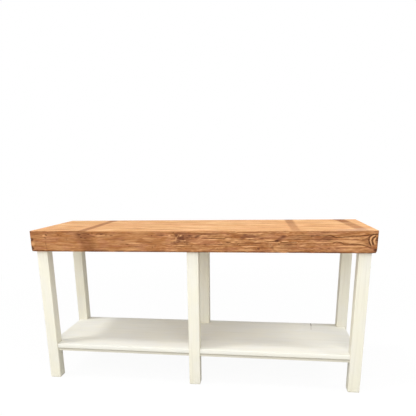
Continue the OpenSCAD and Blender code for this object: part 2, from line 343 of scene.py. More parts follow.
def makeTrunkRings():
    # Growth rings round a pith line along the board: distance from it, plus a slow wave and a
    # taper along the board, eased into the distance from a knot where that is less, cut into
    # rings that darken towards their end
    tree, given = startGroup("trunkRings", {
        "Vector": None, "Pith": (0.0, 0.0, 0.03), "Spacing": 0.009, "Taper": 0.03, "Wave": 0.012,
        "Knot distance": 1.0})
    away = vectorCalc("SUBTRACT", given["Vector"], given["Pith"])
    split = addNode(tree, "ShaderNodeSeparateXYZ", {0: away}).outputs
    distance = calc("SQRT", calc("ADD", times(split[1], split[1]), times(split[2], split[2])))
    slow, quick = (calc("SUBTRACT", noise(given["Vector"], pattern), 0.5) for pattern in ("slowWave", "quickWave"))
    waved = calc("ADD", distance, times(slow, given["Wave"]))
    waved = timesPlus(quick, times(given["Wave"], 0.22), waved)
    tapered = timesPlus(split[0], given["Taper"], waved)
    eased = calc("SMOOTH_MIN", tapered, given["Knot distance"], 0.016)
    rings = calc("DIVIDE", eased, given["Spacing"])
    share = calc("FRACT", rings)
    late = times(ramp(share, 0.25, 0.85), ramp(share, 0.88, 1.0, 1.0, 0.0))
    whole = addNode(tree, "ShaderNodeTexWhiteNoise", {"W": calc("FLOOR", rings)}, noise_dimensions="1D")
    return endGroup(tree, {"Late wood": late, "Ring tone": whole.outputs["Value"]})


def makeFibres():
    # What lies along the grain whatever the rings do: fine fibres, streaks broken up by short
    # ticks, pores and splits, and two slow clouds for the tone and the hue
    tree, given = startGroup("fibres", {"Vector": None, "Split share": 0.3, "Spread": 1.0})
    spread = addNode(tree, "ShaderNodeCombineXYZ", dict.fromkeys(range(3), given["Spread"]))
    broad = vectorCalc("DIVIDE", given["Vector"], spread.outputs[0])
    fibre, pores, splits, place = (
        noise(given["Vector"], pattern) for pattern in ("fibre", "pores", "splits", "splitPlaces"))
    ticks = calc("SUBTRACT", noise(broad, "ticks"), 0.5)
    streaks = timesPlus(ticks, 0.6, noise(broad, "streaks"))
    cloud = noise(broad, "cloud")
    blush = noise(vectorCalc("ADD", broad, (3.1, 1.7, 0.4)), "blush")
    threshold = timesPlus(given["Split share"], -0.12, 0.76)
    opened = calc("SUBTRACT", splits, threshold)
    splitMask = times(ramp(opened, 0.0, 0.035), ramp(place, 0.42, 0.6))
    return endGroup(tree, {
        "Fibre": fibre, "Streaks": streaks, "Pores": ramp(pores, 0.66, 0.78), "Splits": splitMask,
        "Cloud": cloud, "Blush": blush})


def makeEdgeWear():
    # Breaks the even band of the wear attribute into rubs and knocks of uneven width
    tree, given = startGroup("edgeWear", {"Wear": 0.0, "Vector": None, "Amount": 0.5})
    broad, fine = (noise(given["Vector"], pattern) for pattern in ("broadWear", "fineWear"))
    broken = timesPlus(fine, 0.35, times(broad, 0.65))
    reach = calc("ADD", calc("SUBTRACT", given["Wear"], 1.0), times(broken, given["Amount"]))
    return endGroup(tree, {"Mask": ramp(reach, 0.0, 0.12)})


def makeBrushwork():
    # Brushed paint over wood: long strokes, the grain that shows through, and a soft mottle
    tree, given = startGroup("brushwork", {"Vector": None})
    return endGroup(tree, {
        label: noise(given["Vector"], label.lower()) for label in ("Strokes", "Grain", "Mottle")})


raggedShift = makeRaggedShift()
stroke = makeStroke()
fray = makeFray()
trunkRings = makeTrunkRings()
fibres = makeFibres()
edgeWear = makeEdgeWear()
brushwork = makeBrushwork()
print("node groups built")


# Finishes

# Turns that bring each board's length to X, its width to Y and its depth to Z
turns = {"face": (-90, 0, 0), "top": (0, 0, 0), "end": (-90, -90, 0), "upright": (0, 90, 0)}


def startMaterial(name):
    material = bpy.data.materials.new(name)
    material.use_nodes = True
    material.node_tree.nodes.clear()
    return material, material.node_tree


def endMaterial(material, look, base, roughness, height):
    # The shader that each finish ends in, with its bump as deep as the look says
    tree = material.node_tree
    bump = addNode(tree, "ShaderNodeBump", {
        "Strength": look["bump"], "Distance": look["bumpDepth"] * mm, "Height": height})
    shader = addNode(tree, "ShaderNodeBsdfPrincipled", {
        "Base Color": base, "Roughness": roughness, "Metallic": look.get("metallic", 0.0),
        "Specular IOR Level": look["specular"], "Normal": bump.outputs[0]})
    addNode(tree, "ShaderNodeOutputMaterial", {"Surface": shader.outputs[0]})
    return material


def boardPlace(tree, way, offset):
    # Object coordinates turned so that the grain runs along X, then shifted to the board's corner
    place = tree.nodes.new("ShaderNodeTexCoord").outputs["Object"]
    angles = tuple(math.radians(a) for a in turns[way])
    return addNode(tree, "ShaderNodeMapping", {"Vector": place, "Rotation": angles, "Location": offset}).outputs[0]


def attribute(tree, name):
    return addNode(tree, "ShaderNodeAttribute", attribute_name=name).outputs["Fac"]


def wornEdges(tree, grainAt, look):
    wear = attribute(tree, "wear")
    return useGroup(edgeWear, {"Wear": wear, "Vector": grainAt, "Amount": look["edgeWear"]})[0]


def knotDistance(vector, look):
    # The least distance from a knot's heart, counted so that at a knot's rim it equals the
    # distance from the pith: that distance times 0.5, plus 0.5 times the share of the half size
    nearest = 1.0
    _, pithAcross, pithDepth = look["pith"]
    for x, across, halfLength, halfWidth in look.get("knots", []):
        moved = vectorCalc("SUBTRACT", vector, (x * mm, across * mm, 0))
        scaled = vectorCalc("DIVIDE", moved, (halfLength * mm, halfWidth * mm, 1))
        radius = vectorCalc("LENGTH", scaled)
        rim = math.hypot(across * mm - pithAcross, pithDepth) + x * mm * look["taper"]
        own = timesPlus(radius, 0.5 * rim, 0.5 * rim)
        nearest = calc("SMOOTH_MIN", nearest, own, 0.01)
    return nearest


def makeWood(name, look, way, offset=(0, 0, 0)):
    material, tree = startMaterial(name)
    grainAt = boardPlace(tree, way, offset)
    rings = useGroup(trunkRings, {
        "Vector": grainAt, "Pith": look["pith"], "Spacing": look["ringSpacing"] * mm, "Taper": look["taper"],
        "Wave": look["wave"] * mm, "Knot distance": knotDistance(grainAt, look)})
    along = useGroup(fibres, {"Vector": grainAt, "Split share": look["splits"], "Spread": look["spread"]})
    worn = wornEdges(tree, grainAt, look)

    # Lines and streaks may be quiet up to one place along the board and lively past it
    lineStrength, streakStrength = look["lineStrength"], look["streaks"]
    if "quietUntil" in look:
        position = addNode(tree, "ShaderNodeSeparateXYZ", {0: grainAt}).outputs[0]
        start = look["quietUntil"] * mm
        lively = ramp(position, start, start + 0.14, look["quiet"], 1.0)
        lineStrength, streakStrength = times(lively, lineStrength), times(lively, streakStrength)
    ringDepth = timesPlus(times(rings["Ring tone"], rings["Ring tone"]), 0.75, 0.25)
    late = times(rings["Late wood"], ringDepth, lineStrength)
    base = mixColor(ramp(along["Cloud"], 0.36, 0.64), look["early"], look["warm"])
    base = mixColor(ramp(along["Blush"], 0.46, 0.62, 0.0, look["blush"]), base, look["rosy"])
    base = mixColor(late, base, look["late"])
    darkStreaks = ramp(along["Streaks"], 0.33, 0.48, 1.0, 0.0)
    paleStreaks = ramp(along["Streaks"], 0.53, 0.68)
    base = mixColor(times(darkStreaks, streakStrength), base, look["late"])
    base = mixColor(times(paleStreaks, streakStrength), base, look["pale"])
    shade = ramp(along["Fibre"], 0.3, 0.7, 1 - look["fibre"], 1 + look["fibre"])
    gray = addNode(tree, "ShaderNodeCombineColor", dict.fromkeys(range(3), shade)).outputs[0]
    base = mixColor(1.0, base, gray, "MULTIPLY")
    base = mixColor(times(along["Pores"], look["pores"]), base, look["dark"])
    # The boards' inner faces were never stained
    base = mixColor(times(attribute(tree, "inside"), 0.8), base, look["bare"])
    frayed = {}
    for kind in look["marks"]:
        frayed[kind] = useGroup(fray, {
            "Mask": attribute(tree, kind), "Fibre": along["Fibre"], "Streaks": along["Streaks"]})[0]
    for kind in ("streak", "stain", "pale", "sheen"):
        if kind in frayed:
            base = mixColor(frayed[kind], base, look[kind])
    base = mixColor(times(worn, look["edgeDark"]), base, look["dark"])
    gaps = calc("MAXIMUM", along["Splits"], frayed.get("dark", 0.0))
    base = mixColor(times(gaps, 0.9), base, look["dark"])
    rough = sumUp(look["roughness"], (late, -0.1), (gaps, 0.2), (along["Fibre"], 0.12))
    height = sumUp(times(along["Fibre"], 0.5), (late, 0.35), (along["Streaks"], 0.6), (along["Pores"], -0.25),
                   (gaps, -1.6), (worn, -0.5))
    return endMaterial(material, look, base, rough, height)


def makePaint(name, look, way, offset=(0, 0, 0)):
    material, tree = startMaterial(name)
    grainAt = boardPlace(tree, way, offset)
    brushed = useGroup(brushwork, {"Vector": grainAt})
    worn = wornEdges(tree, grainAt, look)
    base = mixColor(ramp(brushed["Mottle"], 0.3, 0.7), look["cool"], look["warm"])
    grainLine = ramp(brushed["Grain"], 0.52, 0.7)
    base = mixColor(times(grainLine, look["grain"]), base, look["shade"])
    strokeLine = ramp(brushed["Strokes"], 0.3, 0.75)
    base = mixColor(times(strokeLine, look["strokes"]), base, look["shade"])
    place = tree.nodes.new("ShaderNodeTexCoord").outputs["Object"]
    level = addNode(tree, "ShaderNodeSeparateXYZ", {0: place}).outputs[2]
    scuffs = noise(place, "scuffs")
    nearFloor = ramp(level, 0.0, look["footDirt"] * mm, 1.0, 0.0)
    foot = times(nearFloor, ramp(scuffs, 0.35, 0.7), look["footShare"])
    base = mixColor(foot, base, look["dirt"])
    # Painted shadow: where a look asks for it, the paint darkens towards the underside of the shelf
    if "grime" in look:
        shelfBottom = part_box("shelf_plank_front")[0].z
        corner = ramp(level, shelfBottom - look["grimeReach"] * mm, shelfBottom)
        base = mixColor(times(corner, look["grimeShare"]), base, look["grime"])
    base = mixColor(times(worn, look["edgeRub"]), base, look["under"])
    flat = useGroup(raggedShift, {
        "Vector": vectorCalc("MULTIPLY", place, (1, 1, 0)), "Length": 0.02, "Height": 0.02, "Shift": 0.004})[0]
    for halfWidth, strength, start, end in look.get("cracks", []):
        crack = useGroup(stroke, {
            "Vector": flat, "Start": (start[0] * mm, start[1] * mm, 0),
            "Way": ((end[0] - start[0]) * mm, (end[1] - start[1]) * mm, 0), "Half width": halfWidth * mm})[0]
        base = mixColor(times(crack, strength), base, look["crack"])
    rough = sumUp(look["roughness"], (brushed["Strokes"], 0.16))
    height = sumUp(times(brushed["Strokes"], 0.6), (brushed["Grain"], 0.8), (worn, -0.4))
    return endMaterial(material, look, base, rough, height)


def makeSteel(name, look):
    material, tree = startMaterial(name)
    grainAt = boardPlace(tree, "top", (0, 0, 0))
    scratches = noise(grainAt, "scratches")
    base = mixColor(ramp(noise(grainAt, "dullSpots"), 0.3, 0.7), look["bright"], look["dull"])
    return endMaterial(material, look, base, sumUp(look["roughness"], (scratches, 0.25)), scratches)


rusticLook = {
    "early": rgb(190, 136, 86), "warm": rgb(166, 107, 58), "rosy": rgb(181, 121, 87), "late": rgb(120, 69, 36),
    "dark": rgb(76, 39, 20), "stain": rgb(114, 66, 42), "pale": rgb(226, 171, 119), "bare": rgb(206, 186, 152),
    "blush": 0.5, "spread": 1.0,
    "pith": (0.0, 0.16, -0.04), "ringSpacing": 9.5, "taper": 0.01, "wave": 17.0, "splits": 0.6, "edgeWear": 0.8,
    "edgeDark": 0.5, "lineStrength": 1.0, "streaks": 0.62, "fibre": 0.15, "pores": 0.3, "roughness": 0.55,
    "specular": 0.2, "bump": 0.7, "bumpDepth": 0.7, "marks": {}}

# Marks are placed in millimetres: how far from the left end, and how far up from the top edge.
# An oval has its centre, half length, half width, tilt in degrees and strength; a line has its
# half width, strength and points; a rim has its height, half width, share and strength.
frontLook = {
    **rusticLook, "quietUntil": 690, "quiet": 0.42, "streak": rgb(120, 72, 34), "step": (3.0, 2.0),
    "knots": [(845, -44, 26, 22), (1842, -50, 44, 26), (880, -68, 16, 14), (714, -82, 22, 20)],
    "marks": {
        "stain": {
            "core": 0.3,
            "ovals": [
                (36, -56, 16, 7, 0, 0.5), (66, -55, 10, 7, 0, 0.4), (120, -10, 70, 7, 0, 0.4),
                (215, -6, 70, 7, 0, 0.5), (155, -48, 8, 8, 0, 0.4), (212, -46, 9, 9, 0, 0.45),
                (285, -18, 22, 12, -20, 0.6), (405, -17, 34, 8, 0, 0.45), (500, -38, 26, 6, 5, 0.45),
                (400, -102, 70, 9, 0, 0.35), (600, -89, 60, 5, 0, 0.3), (705, -84, 8, 18, -10, 0.4),
                (745, -104, 26, 8, 0, 0.35), (740, -24, 36, 6, 0, 0.45), (795, -70, 9, 16, 0, 0.3),
                (860, -38, 70, 40, 0, 0.6), (848, -40, 36, 22, 0, 0.9), (832, -55, 22, 15, 0, 0.9),
                (814, -62, 14, 10, 0, 0.6), (824, -23, 18, 9, 0, 0.9), (892, -28, 24, 13, 0, 0.8),
                (850, -13, 40, 6, 0, 0.45), (880, -67, 20, 12, 0, 0.4), (925, -92, 60, 16, 0, 0.25),
                (934, -30, 26, 10, 22, 0.7), (1015, -20, 66, 6, 0, 0.55), (1092, -20, 12, 5, 0, 0.6),
                (1010, -108, 24, 6, 0, 0.4), (1085, -87, 26, 6, 0, 0.4), (1095, -61, 18, 5, 0, 0.5),
                (1170, -38, 24, 10, 15, 0.7), (1212, -30, 64, 15, 0, 0.8), (1185, -24, 26, 10, 0, 0.85),
                (1265, -40, 20, 8, -10, 0.8), (1250, -91, 12, 10, 0, 0.6), (1270, -88, 6, 14, 0, 0.4),
                (1370, -34, 24, 12, 20, 0.85), (1354, -43, 22, 12, 20, 0.8), (1340, -52, 22, 9, 0, 0.8),
                (1404, -72, 22, 6, 0, 0.6), (1318, -84, 14, 16, -35, 0.4), (1440, -36, 70, 15, 0, 0.45),
                (1530, -38, 80, 13, 0, 0.26), (1586, -38, 54, 14, 0, 0.65), (1722, -45, 20, 6, 0, 0.4),
                (1770, -45, 26, 10, 8, 0.35), (1395, -92, 80, 20, 0, 0.3), (1825, -46, 8, 24, 0, 0.6),
                (1820, -98, 18, 15, 0, 0.8), (1800, -100, 40, 12, 0, 0.25)],
            "lines": [(140, 0.1, (-40, -57), (640, -57))]},
        # The streak lines are a painted shadow: a dark band from a bar above the top that runs slanted down the
        # front, in the streak colour
        "streak": {
            "core": 0.3,
            "lines": [(56, 0.62, (296, -4), (325, -62), (352, -118)), (26, 0.5, (330, -64), (356, -118))]},
        "pale": {
            "core": 0.3,
            "ovals": [
                (13, -72, 12, 16, 0, 0.6), (80, -27, 12, 6, 0, 0.7), (180, -68, 90, 3, 0, 0.45),
                (180, -89, 90, 3, 0, 0.45), (150, -100, 80, 3, 0, 0.45), (400, -27, 28, 4, 0, 0.5),
                (590, -67, 60, 4, 0, 0.6), (560, -98, 60, 4, 0, 0.45), (660, -40, 30, 4, 0, 0.5),
                (786, -25, 12, 8, 0, 0.6), (845, -26, 12, 5, 15, 0.8), (822, -42, 4, 10, 0, 0.6),
                (867, -51, 6, 5, 0, 0.9), (800, -103, 36, 4, 0, 0.6), (845, -76, 26, 4, 0, 0.6),
                (1010, -46, 40, 5, 0, 0.75), (1095, -43, 26, 5, 0, 0.7), (1205, -41, 32, 4, 0, 0.95),
                (1300, -49, 34, 5, 0, 0.95), (1197, -82, 46, 4, 0, 0.85), (1310, -72, 9, 5, 0, 0.6),
                (1380, -55, 26, 4, 0, 0.95), (1434, -60, 14, 5, 0, 0.9), (1680, -53, 96, 6, 0, 0.7),
                (1700, -38, 60, 5, 0, 0.6), (1730, -62, 60, 4, -6, 0.8), (1700, -79, 90, 6, 0, 0.6),
                (1560, -60, 50, 4, 0, 0.5), (1600, -16, 70, 4, 0, 0.4), (1690, -98, 80, 5, 0, 0.35),
                (1770, -34, 20, 4, 10, 0.6)],
            # The first two pale lines, along the top edge, are a painted highlight of the lit rounded arris
            "lines": [(9, 0.4, (330, 1), (1100, 0)), (9, 0.4, (1100, 0), (1826, 1)),
                      (3, 0.35, (836, -22), (826, -33)), (3, 0.35, (820, -34), (817, -50)),
                      (4.2, 0.95, (1810, -24), (1796, -36), (1794, -50), (1801, -72)),
                      (3.8, 0.95, (1815, -36), (1811, -50), (1817, -67))]},
        "dark": {
            "core": 0.35,
            "ovals": [
                (5, -5, 11, 6, 0, 0.6), (7, -49, 14, 10, 20, 1), (6, -95, 13, 13, 0, 1), (94, -22, 8, 5, -30, 0.9),
                (90, -40, 10, 4, -20, 0.8), (105, -12, 6, 4, 0, 0.6), (165, -22, 9, 4, 0, 0.75),
                (181, -27, 7, 4, 0, 0.6), (285, -21, 14, 5, 0, 0.75), (340, -19, 13, 4, 0, 0.95),
                (362, -12, 11, 4, 0, 0.8), (296, -36, 8, 4, 0, 0.95), (318, -41, 10, 4, 0, 0.7),
                (412, -18, 10, 4, 0, 0.7), (388, -20, 10, 4, 0, 0.6), (440, -23, 7, 5, 0, 0.55),
                (468, -25, 12, 4, 0, 0.8), (530, -53, 14, 4, 0, 0.5), (553, -74, 18, 3, 0, 0.65),
                (690, -26, 7, 4, 0, 0.65), (740, -23, 26, 4, 0, 0.6), (691, -88, 6, 6, 0, 0.65),
                (824, -24, 10, 5, 0, 0.75), (862, -27, 6, 6, 0, 0.75), (836, -52, 10, 6, 0, 0.6),
                (848, -38, 18, 6, 10, 0.5), (892, -26, 8, 5, 0, 0.65), (880, -37, 8, 6, 0, 0.5),
                (868, -60, 4, 8, 0, 0.5), (808, -10, 4, 4, 0, 0.7), (1036, -95, 5, 5, 0, 0.45),
                (858, -46, 9, 5, 0, 0.5), (812, -60, 6, 5, 0, 0.4), (872, -17, 9, 4, 0, 0.45),
                (905, -36, 8, 4, 0, 0.5), (846, -58, 7, 4, 0, 0.4),
                (902, -80, 6, 5, 0, 0.5), (880, -68, 5, 5, 0, 0.5), (1073, -42, 5, 4, 0, 0.9),
                (1052, -72, 20, 4, 0, 0.7), (1095, -60, 14, 4, 0, 0.65), (1135, -60, 10, 4, 0, 0.6),
                (1200, -45, 10, 3, 0, 0.6), (1252, -93, 8, 6, 0, 0.55), (1340, -53, 15, 6, 0, 1),
                (1352, -68, 7, 5, 0, 0.6), (1309, -73, 7, 5, 0, 0.7), (1317, -83, 7, 6, 0, 0.6),
                (1323, -95, 6, 6, 0, 0.5), (1374, -30, 9, 5, 0, 0.45), (1368, -42, 10, 4, 0, 0.4),
                (1590, -47, 30, 3, 5, 0.6), (1478, -43, 18, 3, 0, 0.35), (1640, -92, 12, 4, 0, 0.45),
                (1555, -90, 12, 3, 0, 0.4), (1596, -89, 8, 3, 0, 0.4),
                (1827, -48, 4, 26, 0, 0.8), (1823, -98, 12, 10, 0, 1), (1805, -112, 26, 3, 15, 0.8)],
            "lines": [
                (3.2, 0.4, (87, -58), (90, -84), (92, -114)), (3, 0.6, (296, -12), (330, -13)),
                (3, 0.5, (342, -24), (374, -32)), (3, 0.5, (604, -61), (650, -62), (690, -61)),
                (2.6, 0.4, (560, -84), (640, -83)), (3, 0.5, (820, -81), (868, -82)),
                (4.5, 0.5, (925, -34), (942, -26), (958, -20)), (2.6, 0.35, (958, -20), (1072, -23)),
                (3, 0.6, (955, -41), (1010, -40), (1074, -42)), (3, 0.6, (1073, -42), (1084, -35), (1114, -35)),
                (3, 0.5, (970, -72), (1030, -73)), (3, 0.5, (1140, -72), (1152, -60)),
                (3.2, 0.65, (1152, -75), (1190, -76), (1238, -75)), (3, 0.5, (1200, -46), (1238, -52)),
                (3, 0.65, (1280, -54), (1330, -56)), (3.2, 0.75, (1360, -60), (1400, -61), (1438, -60)),
                (2.6, 0.4, (1380, -74), (1398, -70), (1440, -70)), (2.6, 0.4, (1240, -22), (1330, -19)),
                (2.6, 0.5, (1440, -24), (1508, -28)), (3, 0.55, (1462, -90), (1520, -91)),
                (4.4, 1, (1508, -28), (1552, -25), (1606, -27), (1632, -36)),
                (3, 0.4, (1400, -46), (1470, -43), (1560, -47)), (2.8, 0.45, (1360, -82), (1440, -84)),
                (2.8, 0.4, (1452, -72), (1530, -74), (1600, -72)), (2.8, 0.35, (1480, -100), (1590, -98)),
                (2.8, 0.5, (1186, -63), (1260, -64)), (2.8, 0.45, (1180, -92), (1236, -93)),
                (3.4, 0.9, (1632, -36), (1662, -33), (1704, -30), (1742, -30)),
                (3.4, 0.9, (1742, -30), (1766, -26), (1790, -21), (1829, -19)),
                (3.2, 0.9, (1618, -63), (1634, -59), (1655, -60), (1668, -69)),
                (3.0, 0.85, (1668, -69), (1692, -70), (1742, -70), (1766, -75)),
                (3.0, 0.85, (1766, -75), (1786, -81), (1800, -86)),
                (4.6, 1, (1806, -18), (1788, -32), (1786, -48), (1791, -62), (1799, -77)),
                (5.6, 1, (1815, -29), (1804, -38), (1802, -52), (1809, -70)),
                (2.8, 0.4, (1755, -46), (1782, -40)), (2.8, 0.35, (1755, -48), (1780, -54))],
            "rims": [(-11, 3, 0.4, 0.35), (-17, 3, 0.3, 0.35), (-110, 4, 0.65, 0.75)]}}}

backLook = {
    **rusticLook, "pith": (0.0, -0.2, -0.05), "knots": [(480, -60, 24, 17), (1390, -40, 30, 20)],
    "marks": {
        "stain": {"ovals": [(1390, -40, 44, 22, 0, 0.6), (900, -30, 70, 14, 0, 0.5), (478, -60, 16, 12, 0, 0.8)]},
        "pale": {"ovals": [(620, -46, 60, 4, 0, 0.6), (1180, -70, 70, 5, 0, 0.5), (240, -30, 60, 5, 0, 0.5)]},
        "dark": {
            "ovals": [(1388, -41, 12, 8, 0, 0.8), (480, -60, 8, 6, 0, 0.85), (1700, -85, 20, 4, 0, 0.6)],
            "lines": [(3, 0.6, (540, -52), (640, -50), (700, -51)), (3, 0.6, (1160, -75), (1250, -76), (1340, -73)),
                      (2.5, 0.5, (60, -80), (190, -82)), (2.5, 0.5, (1560, -30), (1700, -32))],
            "rims": [(-9, 4, 0.5, 0.55), (-111, 4, 0.7, 0.55)]}}}

endLook = {
    **rusticLook, "pith": (0.0, 0.14, -0.05), "knots": [(180, -70, 20, 15)],
    "marks": {
        "stain": {"ovals": [(330, -40, 44, 18, 0, 0.5), (180, -70, 16, 12, 0, 0.7)]},
        "pale": {"ovals": [(90, -40, 44, 4, 0, 0.6), (420, -78, 50, 4, 0, 0.5)]},
        "dark": {
            "ovals": [(180, -70, 7, 5, 0, 0.8), (562, -50, 9, 8, 0, 0.8)],
            "lines": [(3, 0.6, (380, -60), (470, -61)), (2.5, 0.5, (30, -88), (120, -86))],
            "rims": [(-9, 4, 0.5, 0.55), (-111, 4, 0.7, 0.55)]}}}

# The top is the paler wood, with painted shadows of bars above it as dark bands straight across it.
# Its marks count from the left end and from the back edge.
topLook = {
    **rusticLook, "early": rgb(246, 197, 142), "warm": rgb(226, 168, 110), "rosy": rgb(236, 168, 122),
    "late": rgb(184, 122, 70), "streak": rgb(180, 114, 64), "stain": rgb(146, 86, 42),
    "pale": rgb(252, 210, 158), "sheen": rgb(192, 148, 124), "ringSpacing": 12.0, "wave": 24.0,
    "lineStrength": 0.6, "streaks": 0.6, "spread": 3.0, "roughness": 0.62, "specular": 0.1,
    "edgeDark": 0.15, "splits": 0.3, "fibre": 0.12,
    "marks": {
        # The stain marks of the top are painted shadows: bands straight across it, in the stain colour
        "stain": {
            "core": 0.5,
            "lines": [(31, 0.7, (298, 8), (303, -300), (305, -580)), (31, 0.66, (1426, 8), (1430, -200)),
                      (29, 0.5, (1430, -200), (1432, -400)), (28, 0.36, (1432, -400), (1434, -580)),
                      (38, 0.85, (1730, 8), (1742, -160)),
                      (37, 0.58, (1742, -160), (1757, -500)), (32, 0.3, (1757, -500), (1760, -580))],
            "ovals": [(324, -76, 22, 30, 0, 0.4), (1728, -20, 44, 70, 0, 1), (1426, -10, 32, 44, 0, 0.85)]},
        "streak": {
            "core": 0.3,
            "ovals": [(180, -358, 90, 20, 0, 0.8), (150, -492, 130, 24, 0, 0.75), (40, -380, 50, 24, 0, 0.5),
                      (565, -468, 100, 18, 0, 0.9), (645, -432, 40, 22, 0, 0.6), (770, -520, 140, 18, 0, 0.6),
                      (860, -430, 110, 18, 0, 0.45), (840, -100, 120, 18, 0, 0.6), (1090, -80, 90, 18, 0, 0.5),
                      (700, -250, 90, 16, 0, 0.35), (900, -235, 80, 18, 0, 0.35), (1560, -372, 110, 24, 0, 0.7),
                      (1545, -205, 110, 20, 0, 0.6), (1350, -410, 70, 16, 0, 0.45), (1380, -540, 110, 16, 0, 0.4),
                      (1590, -540, 90, 14, 0, 0.35), (1130, -190, 90, 18, 0, 0.4), (110, -90, 90, 24, 0, 0.4)]},
        # The sheen is a painted reflection near the front edge at the right end
        "sheen": {"core": 0.1, "ovals": [(1765, -500, 60, 44, 20, 0.7), (1705, -552, 150, 40, 0, 0.9)]}}}

pineLook = {
    **rusticLook, "early": rgb(214, 188, 146), "warm": rgb(206, 176, 130), "rosy": rgb(208, 172, 132),
    "late": rgb(180, 142, 98), "dark": rgb(112, 80, 52), "ringSpacing": 6.0, "lineStrength": 0.6, "streaks": 0.2,
    "fibre": 0.06, "edgeWear": 0.0, "edgeDark": 0.0, "roughness": 0.65, "bump": 0.35, "splits": 0.1}

beechLook = {
    **pineLook, "early": rgb(214, 176, 128), "warm": rgb(204, 160, 112), "late": rgb(176, 130, 86),
    "ringSpacing": 2.0, "pores": 0.6}

paintLook = {
    "cool": rgb(238, 235, 223), "warm": rgb(240, 236, 218), "shade": rgb(223, 218, 201),
    "under": rgb(212, 200, 174), "dirt": rgb(206, 198, 174), "crack": rgb(112, 104, 90), "grain": 0.3,
    "strokes": 0.2, "edgeWear": 0.5, "edgeRub": 0.25, "footDirt": 90.0, "footShare": 0.15, "roughness": 0.62,
    "specular": 0.06, "bump": 0.35, "bumpDepth": 0.4}

# The shelf's paint is whiter than the legs' as painted light, and it has two hairline cracks: half width, strength,
# start and end
shelfLook = {
    **paintLook, "cool": rgb(246, 246, 240), "warm": rgb(248, 247, 237), "shade": rgb(231, 229, 217),
    "edgeRub": 0.15,
    "cracks": [(4.0, 0.65, (679, 262), (676, 205)), (2.5, 0.4, (676, 212), (669, 135))]}

# The rails under the shelf are painted darker and grayer than the legs as painted shade, and a painted shadow
# darkens them further towards the shelf's underside
shadedRailLook = {
    **paintLook, "cool": rgb(222, 218, 205), "warm": rgb(224, 219, 203), "shade": rgb(206, 200, 184),
    "grime": rgb(150, 141, 122), "grimeReach": 15.0, "grimeShare": 0.65}

steelLook = {
    "bright": rgb(190, 190, 192), "dull": rgb(150, 150, 154), "roughness": 0.3, "specular": 0.5,
    "metallic": 1.0, "bump": 0.3, "bumpDepth": 0.1}

low, high = (np.array(corner) for corner in cadBounds)
frontMap = (-low[0], -high[2], low[1])
backMap = (-low[0], -high[2], high[1])
finish = {
    "front": makeWood("rusticWoodFront", frontLook, "face", frontMap),
    "back": makeWood("rusticWoodBack", backLook, "face", backMap),
    "left": makeWood("rusticWoodLeftEnd", endLook, "end", (-low[1], -high[2], -low[0])),
    "right": makeWood("rusticWoodRightEnd", endLook, "end", (-low[1], -high[2], -high[0])),
    "pineAcross": makeWood("barePineAcross", pineLook, "end"),
    "pineAlong": makeWood("barePineAlong", pineLook, "face"),
    "beech": makeWood("beechDowel", beechLook, "top"),
    "steel": makeSteel("zincSteel", steelLook),
    "paintUpright": makePaint("whitePaintUpright", paintLook, "upright"),
    "paintShelf": makePaint("whitePaintShelf", shelfLook, "top"),
    "paintAlong": makePaint("whitePaintAlong", shadedRailLook, "top"),
    "paintAcross": makePaint("whitePaintAcross", shadedRailLook, "end")}
print("finishes built:", len(finish))


# The eight boards of the hollow top, mitred together and eased as one box

topBoards = {
    "easeRadius": 3.0,     # round on the outer arrises, mm
    "chipRadius": 3.5,     # how much rounder the worst knocks leave an arris
    "cornerRadii": (8.0, 14.0),  # rounds at the left and right lower front corners
    "cornerReach": 26.0,   # how far along the arrises they die out
    "wander": 0.6,         # how far the planed faces wander inwards
    "seamBevel": 0.5,      # bevel where two planks meet
    "wearReach": 12.0,     # how far from an arris its wear shows
    "markDepth": 0.35,     # how deep the dark marks lie
    "knotDepth": 0.9,      # how deep a knot's heart lies
    "knotRise": 0.25,      # how high its rim stands
    "step": (4.0, 3.2)}

boxLow = np.array([low[0], low[1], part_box("front_apron")[0].z])
boxHigh = high
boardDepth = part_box("front_apron")[1].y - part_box("front_apron")[0].y


def topRadius(points):
    # The round at each place of the box's arrises: even, with random knocks, and larger at
    # the two lower front corners
    look = topBoards
    knocks = twoNoises(points, 0.022, 0.008, 5)
    radius = look["easeRadius"] + look["chipRadius"] * np.clip((knocks - 0.45) / 0.6, 0, 1)
    radius += 0.6 * latticeNoise(points, 0.09, 7)
    for x, corner in zip((boxLow[0], boxHigh[0]), look["cornerRadii"]):
        far = np.linalg.norm(points - [x, boxLow[1], boxLow[2]], axis=1) / (look["cornerReach"] * mm)
        radius += (corner - radius) * smoothStep(np.clip(1 - far, 0, 1))
    return radius * mm


def topRelief(points):
    # How far the worn faces lie inside the box: slow wander of the plane and small dents
    slow = 0.5 + 0.5 * latticeNoise(points, (0.26, 0.26, 0.045), 11)
    fine = 0.5 + 0.5 * latticeNoise(points, (0.06, 0.06, 0.014), 12)
    dents = np.clip(latticeNoise(points, (0.03, 0.03, 0.012), 13) - 0.62, 0, 1) * 2.2
    return topBoards["wander"] * mm * (0.65 * slow + 0.35 * fine + dents)


